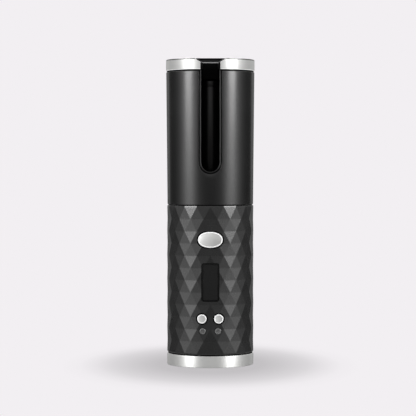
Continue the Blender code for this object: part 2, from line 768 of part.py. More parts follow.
# ---- heater ----------------------------------------------------------------------------------
def barrel_base():
    profile = [(7.0, DECK_TOP + REST_GAP), (10.8, DECK_TOP + REST_GAP), (10.8, 119.3), (12.6, 119.3)]
    profile += [(12.6, 121.0), (10.4, 121.0), (10.4, 126.0), (7.0, 126.0)]
    revolve("barrel_base", profile, dark_plastic(), 32)


def chamber_floor():
    tube("chamber_floor", 11.2, 23.8, 117.8, 119.0, dark_plastic())


def heating_barrel():
    tube("heating_barrel", HEATER_BORE_R, HEATER_R, HEATER_FOOT, HEATER_TOP, black_ceramic())


def barrel_tip():
    profile = [(0.0, 183.0), (10.4, 183.0), (10.4, HEATER_TOP + 0.3), (HEATER_R, HEATER_TOP + 0.3)]
    round_z = 189.0
    round_r = TIP_TOP - round_z
    for step in range(4):
        angle = math.radians(90.0 * step / 3)
        profile.append((HEATER_R - round_r + round_r * math.cos(angle), round_z + round_r * math.sin(angle)))
    profile += [(PIVOT_R, TIP_TOP), (PIVOT_R, PIVOT_TOP), (0.0, PIVOT_TOP)]
    revolve("barrel_tip", profile, black_ceramic(), INNER_ROUND)


def heater_core():
    foot, top = 127.0, 182.0
    spread_r = HEATER_BORE_R - 0.4
    gap_half = 1.6

    def half(name, side):
        first = math.degrees(math.asin(gap_half / spread_r))
        outline = []
        for step in range(17):
            angle = math.radians(first + (180.0 - 2 * first) * step / 16)
            outline.append((spread_r * math.cos(angle), side * spread_r * math.sin(angle)))
        prism(name, outline, foot, top, "Z", aluminium())

    half("heater_spreader_front", -1)
    half("heater_spreader_rear", 1)
    box("ptc_element", (-7.0, 7.0), (-1.25, 1.25), (129.0, 175.0), lens_plastic())
    rod("ntc_sensor", 1.25, 176.5, 181.0, lens_plastic(), 12)
    rod("thermal_fuse", 1.7, 113.0, 123.0, lens_plastic(), 16)


def heater_lead(side, word):
    """Insulated wire from the control board up through the deck into the heater."""
    curve = bpy.data.curves.new("heater_lead_" + word, "CURVE")
    curve.dimensions = "3D"
    curve.bevel_depth = 0.6 * MM
    curve.bevel_resolution = 1
    curve.resolution_u = 5
    curve.use_fill_caps = True
    spline = curve.splines.new("BEZIER")
    places = [(side * 4.0, -11.5, 90.0), (side * 4.0, -6.0, 99.0)]
    places += [(side * 3.6, 0.0, 108.0), (side * 3.6, 0.0, 126.4)]
    handles = [(0.0, 0.0, 3.0), (0.0, 2.4, 2.4), (0.0, 0.0, 4.0), (0.0, 0.0, 4.0)]
    spline.bezier_points.add(len(places) - 1)
    for point, place, pull in zip(spline.bezier_points, places, handles):
        point.co = [value * MM for value in place]
        point.handle_left = [(value - shift) * MM for value, shift in zip(place, pull)]
        point.handle_right = [(value + shift) * MM for value, shift in zip(place, pull)]
    curve.materials.append(dark_plastic())
    lead = bpy.data.objects.new("heater_lead_" + word, curve)
    bpy.context.scene.collection.objects.link(lead)


# ---- barrel and top --------------------------------------------------------------------------
def barrel_shell():
    profile = [(BARREL_BORE_R, BARREL_FOOT), (BARREL_FOOT_R, BARREL_FOOT), (BARREL_TOP_R, BARREL_TOP)]
    profile += [(BARREL_BORE_R, BARREL_TOP)]
    shell = revolve("barrel_shell", profile, barrel_black())
    cut(shell, prism("barrel_slot", slot_outline(SLOT_HALF, HEIGHT), *SLOT_CUT, "Y", None))


def chamber_liner():
    foot = DECK_TOP + REST_GAP
    liner = tube("chamber_liner", LINER_INNER_R, LINER_OUTER_R, foot, LINER_TOP, dark_plastic(), ROUND)
    root_r, lip_foot, lip_sweep = 26.5, 124.0, 40.0
    profile = [(root_r, lip_foot), (LIP_OUTER_R, lip_foot), (LIP_OUTER_R, BARREL_TOP), (root_r, BARREL_TOP)]
    lip = revolve("slot_lip", profile, None, 12, start=-90.0 - lip_sweep / 2, sweep=lip_sweep)
    outline = slot_outline(LIP_HALF, HEIGHT)
    helper(lip, "INTERSECT", prism("slot_lip_outline", outline, *SLOT_CUT, "Y", None))
    fuse(liner, lip)
    cut(liner, prism("liner_mouth", slot_outline(MOUTH_HALF, HEIGHT), *SLOT_CUT, "Y", None))


def top_ring():
    edge, step_z = 0.5, LINER_TOP + REST_GAP
    profile = [(BARREL_BORE_R, TOP_RING_FOOT), (TOP_RING_R, TOP_RING_FOOT), (TOP_RING_R, HEIGHT - edge)]
    profile += [(TOP_RING_R - edge, HEIGHT), (TOP_RING_LIP_R + edge, HEIGHT), (TOP_RING_LIP_R, HEIGHT - edge)]
    profile += [(TOP_RING_LIP_R, step_z), (BARREL_BORE_R, step_z)]
    ring = revolve("top_ring", profile, brushed_silver())
    points, faces = notch_cutter()
    cut(ring, make_object("ring_notch", points, faces, None))


def build():
    clear_scene()
    base_ring()
    base_cap()
    base_screws()
    usb_port()
    charge_board()
    handle_shell()
    chassis()
    batteries()
    control_board()
    switches()
    indicators()
    display()
    control_frame()
    rocker_pin()
    direction_rocker()
    push_button("timer_button", -1)
    push_button("temperature_button", 1)
    drive_deck()
    motor_and_gearbox()
    motor_shaft()
    drive_pinion()
    ring_gear()
    thrust_ring()
    home_switch()
    rotor_cage()
    rotor_cap()
    rotor_bush()
    barrel_base()
    chamber_floor()
    heating_barrel()
    barrel_tip()
    heater_core()
    mirrored(heater_lead)
    barrel_shell()
    chamber_liner()
    top_ring()


build()
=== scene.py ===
"""Looks for the automatic hair curler: fine meshes, procedural materials, a pale studio and a camera.

Lengths in the mesh code are millimetres in the frame's own axes: +Z up, the controls face -Y.
Each shape takes its place and outer size from the CAD node that it stands for.
"""

import json
import math

import bmesh
import bpy
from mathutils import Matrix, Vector

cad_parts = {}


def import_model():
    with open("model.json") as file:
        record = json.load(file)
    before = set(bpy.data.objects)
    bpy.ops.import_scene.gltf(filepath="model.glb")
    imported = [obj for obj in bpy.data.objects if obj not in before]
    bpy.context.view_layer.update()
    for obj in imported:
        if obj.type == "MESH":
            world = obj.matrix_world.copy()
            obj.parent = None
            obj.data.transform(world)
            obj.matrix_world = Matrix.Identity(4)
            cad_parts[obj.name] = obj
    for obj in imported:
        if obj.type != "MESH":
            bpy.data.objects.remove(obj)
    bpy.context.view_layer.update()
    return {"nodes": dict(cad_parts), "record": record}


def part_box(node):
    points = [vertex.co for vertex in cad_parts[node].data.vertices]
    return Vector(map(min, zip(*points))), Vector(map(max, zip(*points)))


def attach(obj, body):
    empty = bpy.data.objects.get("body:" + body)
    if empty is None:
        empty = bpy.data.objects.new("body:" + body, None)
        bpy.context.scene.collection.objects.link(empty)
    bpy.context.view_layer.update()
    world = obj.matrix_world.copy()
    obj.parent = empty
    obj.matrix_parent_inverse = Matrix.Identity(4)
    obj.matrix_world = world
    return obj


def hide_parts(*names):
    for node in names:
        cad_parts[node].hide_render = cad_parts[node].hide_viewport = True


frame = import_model()

MM = 0.001
FINE = 256                      # columns of the large round pieces
TINY = 1e-6


def limits(node):
    """Lowest and highest corner of a CAD node, in millimetres."""
    low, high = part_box(node)
    return low / MM, high / MM


# ---- sizes -----------------------------------------------------------------------------------
BARREL_LOW, BARREL_HIGH = limits("barrel_shell")
BARREL_TOP_R = BARREL_HIGH.x
BARREL_TAPER = 0.85             # the barrel's foot is this much smaller in radius
BARREL_BORE_R = 27.5
SLOT_CENTRE_Z = 136.3           # centre of the slot's round end
SLOT_HALF = 7.65
LIP_HALF = 6.95
MOUTH_HALF = 6.15
LINER_LOW, LINER_HIGH = limits("chamber_liner")
LINER_R = LINER_HIGH.x
LINER_WALL = 1.0
LIP_FRONT_R = 28.85

RING_LOW, RING_HIGH = limits("top_ring")
RING_R = RING_HIGH.x
RING_LIP_R = 26.3
CAP_LOW, CAP_HIGH = limits("rotor_cap")
CAP_R = CAP_HIGH.x
RING_RISE = 0.4                 # how much the ring's upper edge is lifted
CAP_RIM_Z = 204.8
CROWN_R = 15.5
NOTCH_HALF = 6.6
NOTCH_RIM_Y = -29.1
NOTCH_BACK_HALF = 4.8
NOTCH_BACK_Y = -15.3
FLARE_DEPTH = 2.2
FLARE_HALF = 11.3
FLARE_BACK_HALF = 6.9
FLARE_BACK_Y = -13.0

HANDLE_LOW, HANDLE_HIGH = limits("handle_shell")
HANDLE_BORE_R = 26.9
FACET_COLUMNS = 20
FACET_ROWS = 12
FACET_LOW_R = 29.1
FACET_HIGH_R = 29.15
BASE_LOW, BASE_HIGH = limits("base_ring")
# how far each edge is moved so that the seams show as dark lines
BARREL_TOP_DROP = 0.55
BARREL_FOOT_LIFT = 0.85
HANDLE_TOP_LIFT = 0.65
BASE_TOP_DROP = 0.45
SEAM_OVERLAP = 0.1              # how far the black seam bands reach behind both edges
SEAM_BAND_WALL = 1.2
HANDLE_SEAM_R = 28.3
BUTTON_R = 3.05
LENS_R = 2.03


# ---- mesh tools ------------------------------------------------------------------------------
def finish_mesh(obj, sharp_degrees=32.0):
    obj.data.shade_smooth()
    obj.data.set_sharp_from_angle(angle=math.radians(sharp_degrees))
    return obj


def mesh_object(name, points, faces, materials, face_materials=None, weld=False):
    """A mesh object from points in millimetres. face_materials gives each face's slot number."""
    bm = bmesh.new()
    verts = [bm.verts.new([value * MM for value in point]) for point in points]
    for number, corners in enumerate(faces):
        face = bm.faces.new([verts[index] for index in corners])
        if face_materials:
            face.material_index = face_materials[number]
    if weld:
        bmesh.ops.remove_doubles(bm, verts=bm.verts, dist=0.0005 * MM)
    loose = [vert for vert in bm.verts if not vert.link_faces]
    bmesh.ops.delete(bm, geom=loose, context="VERTS")
    bmesh.ops.recalc_face_normals(bm, faces=bm.faces)
    mesh = bpy.data.meshes.new(name)
    bm.to_mesh(mesh)
    bm.free()
    obj = bpy.data.objects.new(name, mesh)
    bpy.context.scene.collection.objects.link(obj)
    for mat in materials:
        mesh.materials.append(mat)
    return finish_mesh(obj)


class Surface:
    """Patches of quads that are welded into one closed mesh."""

    def __init__(self):
        self.points = []
        self.faces = []

    def grid(self, rows):
        start = len(self.points)
        width = len(rows[0])
        for row in rows:
            self.points.extend(row)
        for r in range(len(rows) - 1):
            for c in range(width - 1):
                a = start + r * width + c
                self.faces.append([a, a + 1, a + width + 1, a + width])

    def polygon(self, corners):
        start = len(self.points)
        self.points.extend(corners)
        self.faces.append(list(range(start, start + len(corners))))

    def build(self, name, materials):
        return mesh_object(name, self.points, self.faces, materials, weld=True)


def rounded(corners, steps=5):
    """Closed outline from (u, v, radius) corners, each turned into an arc."""
    outline = []
    count = len(corners)
    for index, (u, v, radius) in enumerate(corners):
        corner = Vector((u, v))
        if radius <= 0.0:
            outline.append((u, v))
            continue
        back = (Vector(corners[index - 1][:2]) - corner).normalized()
        ahead = (Vector(corners[(index + 1) % count][:2]) - corner).normalized()
        half = back.angle(ahead) / 2
        centre = corner + (back + ahead).normalized() * radius / math.sin(half)
        first = corner + back * radius / math.tan(half) - centre
        last = corner + ahead * radius / math.tan(half) - centre
        turn = first.angle(last)
        for step in range(steps + 1):
            t = step / steps
            arm = first * math.sin((1 - t) * turn) + last * math.sin(t * turn)
            place = centre + arm / math.sin(turn)
            outline.append((place.x, place.y))
    return outline


def polar(radius, angle, z):
    """Point at an angle counted from the front, positive towards +X."""
    return (radius * math.sin(angle), -radius * math.cos(angle), z)


def on_round(x, z, radius):
    """Point of the front half of a cylinder, given by its x."""
    return (x, -math.sqrt(radius * radius - x * x), z)


def lathe(name, profile, materials, columns=FINE, axis="Z", origin=(0.0, 0.0, 0.0), bands=None):
    """Closed (r, height) profile turned round Z, or round Y with height towards +Y.

    bands gives the material slot of each stretch of the profile.
    """
    points = []
    faces = []
    slots = []
    rings = []
    for r, height in profile:
        ring = []
        for column in range(1 if r == 0.0 else columns):
            angle = 2 * math.pi * column / columns
            x, side = r * math.cos(angle), r * math.sin(angle)
            ring.append(len(points))
            place = (x, side, height) if axis == "Z" else (x, height, side)
            points.append([a + b for a, b in zip(place, origin)])
        rings.append(ring)
    count = len(profile)
    for index in range(count):
        here, after = rings[index], rings[(index + 1) % count]
        if len(here) == 1 and len(after) == 1:
            continue
        for column in range(columns):
            follow = (column + 1) % columns
            corners = [here[column % len(here)], here[follow % len(here)]]
            corners += [after[follow % len(after)], after[column % len(after)]]
            faces.append(list(dict.fromkeys(corners)))
            slots.append(bands[index] if bands else 0)
    return mesh_object(name, points, faces, materials, slots)


def stack(name, rings, materials, slots=None):
    """Closed mesh through rings of equal length, with a flat face on each end."""
    count = len(rings[0])
    points = [point for ring in rings for point in ring]
    faces = [list(range(count)), list(range(len(points) - count, len(points)))]
    numbers = [slots[0] if slots else 0, slots[-1] if slots else 0]
    for row in range(len(rings) - 1):
        lower, upper = row * count, (row + 1) * count
        for k in range(count):
            follow = (k + 1) % count
            faces.append([lower + k, lower + follow, upper + follow, upper + k])
            numbers.append(slots[row] if slots else 0)
    return mesh_object(name, points, faces, materials, numbers)


def carve(obj, *cutters, sharp_degrees=32.0):
    """Cut the helper shapes out of obj and remove the helpers."""
    for cutter in cutters:
        modifier = obj.modifiers.new("cut", "BOOLEAN")
        modifier.operation = "DIFFERENCE"
        modifier.solver = "EXACT"
        modifier.object = cutter
    graph = bpy.context.evaluated_depsgraph_get()
    mesh = bpy.data.meshes.new_from_object(obj.evaluated_get(graph))
    obj.modifiers.clear()
    old = obj.data
    obj.data = mesh
    mesh.name = obj.name
    bpy.data.meshes.remove(old)
    for cutter in cutters:
        bpy.data.objects.remove(cutter)
    return finish_mesh(obj, sharp_degrees)


def circle(radius, centre):
    count = 96
    turns = [2 * math.pi * (step + 0.5) / count for step in range(count)]
    return [(centre[0] + radius * math.cos(t), centre[1] + radius * math.sin(t)) for t in turns]


def superellipse(width, height, power=2.35, centre=(0.0, 0.0)):
    count = 128
    points = []
    for step in range(count):
        turn = 2 * math.pi * (step + 0.5) / count
        c, s = math.cos(turn), math.sin(turn)
        x = width / 2 * math.copysign(abs(c) ** (2 / power), c)
        z = height / 2 * math.copysign(abs(s) ** (2 / power), s)
        points.append((centre[0] + x, centre[1] + z))
    return points


def rounded_rectangle(width, height, radius, centre):
    x, z = width / 2, height / 2
    corners = [(-x, -z, radius), (x, -z, radius), (x, z, radius), (-x, z, radius)]
    return [(u + centre[0], v + centre[1]) for u, v in rounded(corners, 6)]


def pushed(name, outline, low, high):
    """A cutter: an (x, z) outline pushed along Y."""
    rings = [[(x, y, z) for x, z in outline] for y in (low, high)]
    return stack(name, rings, [])


def show(obj, body, slot, *nodes):
    """obj rides on a body and stands for some CAD nodes; slot is not used."""
    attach(obj, body)
    if nodes:
        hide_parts(*nodes)
    return obj


# ---- material tools --------------------------------------------------------------------------
def new_material(name):
    mat = bpy.data.materials.new(name)
    mat.use_nodes = True
    return mat, mat.node_tree, mat.node_tree.nodes["Principled BSDF"]


def node(tree, kind, **values):
    made = tree.nodes.new(kind)
    for key, value in values.items():
        if key in made.inputs:
            made.inputs[key].default_value = value
        else:
            setattr(made, key, value)
    return made


def noise(tree, vector, scale, detail=3.0, roughness=0.55):
    made = node(tree, "ShaderNodeTexNoise", Scale=scale, Detail=detail, Roughness=roughness)
    tree.links.new(vector, made.inputs["Vector"])
    return made.outputs["Fac"]


def stretch(tree, vector, scale):
    """Object coordinates scaled by a different amount along each axis."""
    mapping = node(tree, "ShaderNodeMapping")
    mapping.inputs["Scale"].default_value = scale
    tree.links.new(vector, mapping.inputs["Vector"])
    return mapping.outputs["Vector"]


def remap(tree, value, low, high, start=0.3, end=0.7):
    made = node(tree, "ShaderNodeMapRange")
    made.inputs["From Min"].default_value = start
    made.inputs["From Max"].default_value = end
    made.inputs["To Min"].default_value = low
    made.inputs["To Max"].default_value = high
    tree.links.new(value, made.inputs["Value"])
    return made.outputs["Result"]


def blend_colours(tree, factor, first, second):
    made = node(tree, "ShaderNodeMix", data_type="RGBA")
    for socket in made.inputs:
        if socket.identifier == "A_Color":
            socket.default_value = (*first, 1.0)
        if socket.identifier == "B_Color":
            socket.default_value = (*second, 1.0)
    tree.links.new(factor, made.inputs[0])
    return [out for out in made.outputs if out.identifier == "Result_Color"][0]


def bump(tree, shader, heights, distance):
    """One bump from a list of (height socket, weight)."""
    total = None
    for height, weight in heights:
        scaled = node(tree, "ShaderNodeMath", operation="MULTIPLY")
        tree.links.new(height, scaled.inputs[0])
        scaled.inputs[1].default_value = weight
        if total is None:
            total = scaled.outputs[0]
            continue
        added = node(tree, "ShaderNodeMath", operation="ADD")
        tree.links.new(total, added.inputs[0])
        tree.links.new(scaled.outputs[0], added.inputs[1])
        total = added.outputs[0]
    made = node(tree, "ShaderNodeBump", Distance=distance, Strength=1.0)
    tree.links.new(total, made.inputs["Height"])
    tree.links.new(made.outputs["Normal"], shader.inputs["Normal"])


def object_coordinates(tree):
    return node(tree, "ShaderNodeTexCoord").outputs["Object"]


def moulded_plastic(name, colour, roughness, grain=2600.0, depth=0.012, specular=0.5):
    """Moulded plastic: fine grain in the bump, slow variation in colour and gloss."""
    mat, tree, shader = new_material(name)
    place = object_coordinates(tree)
    slow = noise(tree, place, 55.0, 2.0)
    fine = noise(tree, place, grain, 2.0, 0.6)
    lighter = [min(1.0, value * 1.3 + 0.0004) for value in colour]
    tree.links.new(blend_colours(tree, slow, colour, lighter), shader.inputs["Base Color"])
    tree.links.new(remap(tree, slow, roughness * 0.93, roughness * 1.07), shader.inputs["Roughness"])
    shader.inputs["Specular IOR Level"].default_value = specular
    bump(tree, shader, [(fine, 1.0)], depth * MM)
    return mat


def painted_shade_across(tree, colour, depth):
    """Painted shade: darken a colour socket from the left end of the piece to its right end."""
    parts = node(tree, "ShaderNodeSeparateXYZ")
    tree.links.new(node(tree, "ShaderNodeTexCoord").outputs["Generated"], parts.inputs[0])
    scaled = node(tree, "ShaderNodeVectorMath", operation="SCALE")
    tree.links.new(colour, scaled.inputs[0])
    level = remap(tree, parts.outputs["X"], 1.0 + depth / 2, 1.0 - depth / 2, 0.1, 0.9)
    tree.links.new(level, scaled.inputs["Scale"])
    return scaled.outputs["Vector"]


def brushed_metal(name, colour, roughness, scale, depth=0.004, spread=0.1, stretched=0.0, metallic=1.0,
                  across=0.0):
    """Brushed metal: streaks run along the axis whose scale is low.

    stretched draws the highlights out along Z, as grooves that run round the part do, metallic
    under 1 gives the milky look of satin plated metal, and across paints shade across the piece, darker
    towards +X.
    """
    mat, tree, shader = new_material(name)
    place = object_coordinates(tree)
    streaks = noise(tree, stretch(tree, place, scale), 1.0, 4.0, 0.7)
    slow = noise(tree, place, 90.0, 2.0)
    shader.inputs["Metallic"].default_value = metallic
    darker = [value * 0.88 for value in colour]
    # painted shade: the streaked colour is darkened towards +X by across
    streaks_with_painted_shade = painted_shade_across(tree, blend_colours(tree, streaks, darker, colour), across)
    tree.links.new(streaks_with_painted_shade, shader.inputs["Base Color"])
    rough = remap(tree, streaks, roughness - spread / 2, roughness + spread / 2)
    tree.links.new(rough, shader.inputs["Roughness"])
    bump(tree, shader, [(streaks, 1.0), (slow, 0.2)], depth * MM)
    if stretched:
        tangent = node(tree, "ShaderNodeTangent", direction_type="RADIAL", axis="Z")
        tree.links.new(tangent.outputs["Tangent"], shader.inputs["Tangent"])
        shader.inputs["Anisotropic"].default_value = stretched
        shader.inputs["Anisotropic Rotation"].default_value = 0.25
    return mat


# ---- materials -------------------------------------------------------------------------------
BARREL = moulded_plastic("barrel_black", (0.002, 0.002, 0.002), 0.24, 3200.0, 0.005, specular=0.40)
HANDLE = moulded_plastic("handle_black", (0.0055, 0.0055, 0.0055), 0.27, 3200.0, 0.005, specular=0.44)
CAP = moulded_plastic("cap_black", (0.0008, 0.0008, 0.0008), 0.58, 3000.0, 0.006, specular=0.03)
# light grey, glossy strip at the notch chamfer's foot: a painted highlight
CAP_EDGE_PAINTED_HIGHLIGHT = moulded_plastic("cap_edge_painted_highlight", (0.11, 0.11, 0.11), 0.20, 3000.0, 0.002, specular=1.0)
LINER = moulded_plastic("liner_black", (0.001, 0.001, 0.001), 0.30, 2400.0, 0.006, specular=0.32)
INSIDE = moulded_plastic("inside_black", (0.0025, 0.0025, 0.0025), 0.50, specular=0.18)
CERAMIC = moulded_plastic("black_ceramic", (0.001, 0.001, 0.001), 0.25, 1800.0, 0.004, specular=0.25)
RING_SILVER = brushed_metal("ring_silver", (0.51, 0.51, 0.502), 0.48, (60.0, 60.0, 9000.0), 0.002, 0.08,
                            stretched=0.85, metallic=0.72)
# dark metal on the top ring's upper fillet: a painted shade line
RING_EDGE_PAINTED_SHADE = brushed_metal("ring_edge_painted_shade", (0.07, 0.07, 0.07), 0.36, (400.0, 400.0, 9000.0), 0.001, 0.05)
# the button and rocker faces get painted shade, darker towards +X (across)
BUTTON_SILVER = brushed_metal("button_silver", (0.57, 0.57, 0.562), 0.40, (400.0, 400.0, 9000.0), 0.001, 0.05,
                              metallic=0.75, across=0.65)
# light, mostly diffuse silver: a painted highlight on the polished rims of the buttons and rocker and on the
# ring's foot fillet
RIM_SILVER_PAINTED_HIGHLIGHT = brushed_metal("rim_silver_painted_highlight", (0.78, 0.78, 0.78), 0.38, (700.0, 700.0, 700.0), 0.0003, 0.04,
                           metallic=0.25)
STEEL = brushed_metal("steel", (0.60, 0.60, 0.60), 0.28, (500.0, 500.0, 5000.0))
ALUMINIUM = brushed_metal("aluminium", (0.75, 0.75, 0.76), 0.33, (800.0, 800.0, 3000.0))
BRONZE = brushed_metal("bronze", (0.55, 0.36, 0.16), 0.36, (3000.0, 3000.0, 3000.0))
WINDOW = moulded_plastic("window_gloss", (0.006, 0.006, 0.006), 0.16, 400.0, 0.0005, specular=0.22)
LENS = moulded_plastic("lens_grey", (0.075, 0.075, 0.075), 0.30, 900.0, 0.002, specular=0.3)
LENS_CORE = moulded_plastic("lens_core", (0.045, 0.045, 0.045), 0.26, 900.0, 0.002, specular=0.4)
GEAR = moulded_plastic("gear_white", (0.72, 0.71, 0.66), 0.42)
BOARD = moulded_plastic("board_green", (0.015, 0.13, 0.05), 0.40, grain=1200.0, depth=0.02)
WRAP = moulded_plastic("cell_blue", (0.02, 0.14, 0.38), 0.35, grain=500.0, depth=0.005)

SLOT_MATERIALS = {
    "black_casing": HANDLE, "barrel_black": BARREL, "brushed_silver": RING_SILVER,
    "dark_plastic": INSIDE, "black_ceramic": CERAMIC, "window_glass": WINDOW,
    "lens_plastic": LENS, "steel": STEEL, "aluminium": ALUMINIUM, "bronze": BRONZE,
    "gear_plastic": GEAR, "circuit_board": BOARD, "cell_wrap": WRAP,
}


# ---- barrel ----------------------------------------------------------------------------------
def barrel_radius(z):
    share = (z - BARREL_LOW.z) / (BARREL_HIGH.z - BARREL_LOW.z)
    return BARREL_TOP_R - BARREL_TAPER * (1.0 - share)


def slot_path(half, offset, levels, arc_steps):
    """(x, z) points down the right side, round the lower end and up the left side."""
    side = [z for z in levels if z > SLOT_CENTRE_Z + TINY]
    reach = half + offset
    path = [(reach, z) for z in reversed(side)]
    for step in range(arc_steps + 1):
        angle = math.pi * step / arc_steps
        path.append((reach * math.cos(angle), SLOT_CENTRE_Z - reach * math.sin(angle)))
    path += [(-reach, z) for z in side]
    return path


def slotted_tube(name, outer, inner, foot, top, half, edge, rim, materials):
    """Tube whose slot is open at the top and round below, with a rounded outer edge."""
    columns, arc_steps, fillet_steps = 192, 40, 4
    middle = [foot + (SLOT_CENTRE_Z - foot) * step / 6 for step in range(1, 6)]
    upper = [SLOT_CENTRE_Z + (top - SLOT_CENTRE_Z) * step / 8 for step in range(1, 8)]
    levels = [foot, foot + rim, *middle, SLOT_CENTRE_Z, *upper, top - rim, top]
    surface = Surface()

    def outer_at(z):
        fade = max(0.0, 1.0 - min(z - foot, top - z) / rim)
        return outer(z) - rim * fade

    def wall(radius_at, reach):
        """Main part of one wall, round the back, then the part under the slot."""
        rows = []
        for z in levels:
            radius = radius_at(z)
            first = math.asin(reach / radius)
            spread = 2 * math.pi - 2 * first
            rows.append([polar(radius, first + spread * c / columns, z) for c in range(columns + 1)])
        below = [[] for z in levels if z <= SLOT_CENTRE_Z + TINY]
        for step in range(arc_steps + 1):
            angle = math.pi * step / arc_steps
            x = reach * math.cos(angle)
            head = SLOT_CENTRE_Z - reach * math.sin(angle)
            for number, row in enumerate(below):
                z = levels[number]
                if number > 1:
                    z = levels[1] + (head - levels[1]) * (z - levels[1]) / (SLOT_CENTRE_Z - levels[1])
                row.append(on_round(x, z, radius_at(z)))
        surface.grid(rows)
        surface.grid(below)
        return rows, below

    outside, outside_below = wall(outer_at, half + edge)
    inside, inside_below = wall(lambda z: inner, half)
    loops = []
    for step in range(fillet_steps + 1):
        turn = math.pi / 2 * step / fillet_steps
        offset = edge * (1.0 - math.sin(turn))
        sink = edge * (1.0 - math.cos(turn))
        path = slot_path(half, offset, levels, arc_steps)
        loops.append([on_round(x, z, outer_at(z) - sink) for x, z in path])
    loops.append([on_round(x, z, inner) for x, z in slot_path(half, 0.0, levels, arc_steps)])
    surface.grid(loops)
    surface.grid([outside[0], inside[0]])
    surface.grid([outside_below[0], inside_below[0]])
    surface.grid([outside[-1], inside[-1]])
    surface.polygon([loop[0] for loop in loops])
    surface.polygon([loop[-1] for loop in loops])
    return surface.build(name, materials)


def barrel_shell():
    obj = slotted_tube("barrel_shell_fine", barrel_radius, BARREL_BORE_R, BARREL_LOW.z + BARREL_FOOT_LIFT,
                       BARREL_HIGH.z - BARREL_TOP_DROP, SLOT_HALF, 0.28, 0.22, [BARREL])
    show(obj, "housing", "barrel_black", "barrel_shell")


def chamber_liner():
    wall = slotted_tube("chamber_liner_fine", lambda z: LINER_R, LINER_R - LINER_WALL, LINER_LOW.z,
                        LINER_HIGH.z, MOUTH_HALF, 0.1, 0.15, [CAP])
    show(wall, "housing", "dark_plastic", "chamber_liner")

    base_r = LINER_R + 0.05
    width = LIP_HALF - MOUTH_HALF
    section = rounded([(0.0, base_r, 0.0), (width, base_r, 0.0), (width, LIP_FRONT_R, 0.25),
                       (0.0, LIP_FRONT_R, 0.45)], 5)
    levels = [SLOT_CENTRE_Z + (BARREL_HIGH.z - SLOT_CENTRE_Z) * step / 8 for step in range(9)]
    rings = []
    sweep = [slot_path(MOUTH_HALF, offset, levels, 40) for offset, _ in section]
    for number in range(len(sweep[0])):
        ring = []
        for (_, radius), path in zip(section, sweep):
            x, z = path[number]
            ring.append(on_round(x, z, radius))
        rings.append(ring)
    show(stack("slot_lip", rings, [LINER]), "housing", "dark_plastic")


def notch_tool(name, back_half, flare_half, lift):
    """Channel from the rim to its back wall, chamfered at the top, with softened edges.

    Its second material slot is the narrow bead along the chamfer's foot, a light glossy strip painted in as a
    highlight. flare_half is half its width at the ring's top, and lift is how far it widens above that.
    """
    soft = 0.22
    chamfer_foot = RING_HIGH.z - FLARE_DEPTH

    def level(z, share, extra=0.0):
        rim_half = NOTCH_HALF + (flare_half - NOTCH_HALF) * share + extra
        inner_half = back_half + (FLARE_BACK_HALF - NOTCH_BACK_HALF) * share + extra
        back_y = NOTCH_BACK_Y + (FLARE_BACK_Y - NOTCH_BACK_Y) * share + extra
        taper = (rim_half - inner_half) / (NOTCH_RIM_Y - back_y)
        near = rim_half + taper * 0.3
        right = [(rim_half + 4.0, NOTCH_RIM_Y - 4.5), (rim_half + 0.25, NOTCH_RIM_Y - 0.25)]
        right += [(near, NOTCH_RIM_Y + 0.3), (inner_half, back_y)]
        left = [(-x, y) for x, y in reversed(right)]
        return [(x, y, z) for x, y in right + left]

    rings = [level(CAP_LOW.z - 3.0, 0.0), level(chamfer_foot - 0.30, 0.0)]
    rings.append(level(chamfer_foot + 0.05, 0.045))
    rings.append(level(chamfer_foot + 0.40, 0.4 / FLARE_DEPTH))
    rings.append(level(RING_HIGH.z - soft, 1.0 - soft / FLARE_DEPTH))
    rings.append(level(RING_HIGH.z, 1.0, 0.12))
    rings.append(level(RING_HIGH.z + 2.0, 1.0, lift))
    return stack(name, rings, [], [0, 1, 1, 0, 0, 0])


def seam_shade_band(name, low, high, radius):
    """Black band just behind the surface that closes the gap of a seam, put in as painted shade so the seam
    shows dark.
    """
    inner = radius - SEAM_BAND_WALL
    band = lathe(name, [(inner, low), (radius, low), (radius, high), (inner, high)], [CAP])
    return show(band, "housing", "dark_plastic")


def top_ring():
    low, high = RING_LOW.z, RING_HIGH.z + RING_RISE
    step_z = 200.3                  # underside of the ring's lip
    steps = 6
    corners = [(BARREL_BORE_R, low, 0.0), (RING_R, low, 0.35), (RING_R, high, 0.85), (RING_LIP_R, high, 0.45)]
    corners += [(RING_LIP_R, step_z, 0.0), (BARREL_BORE_R, step_z, 0.0)]
    profile = rounded(corners, steps)
    # painted highlight: light silver on the fillet at the foot; painted shade: dark metal along the top edge
    bands = [0] + [1] * steps + [0] + [2] * (steps - 2)
    bands += [0] * (len(profile) - len(bands))
    ring = lathe("top_ring_fine", profile, [RING_SILVER, RIM_SILVER_PAINTED_HIGHLIGHT, RING_EDGE_PAINTED_SHADE], bands=bands)
    carve(ring, notch_tool("ring_tool", NOTCH_HALF, FLARE_HALF - 0.9, 1.6))
    show(ring, "housing", "brushed_silver", "top_ring")
    seam_low = BARREL_HIGH.z - BARREL_TOP_DROP - SEAM_OVERLAP
    seam = seam_shade_band("top_seam", seam_low, low + SEAM_OVERLAP, RING_R - 0.6)
    carve(seam, notch_tool("seam_tool", NOTCH_HALF, FLARE_HALF, 1.6))


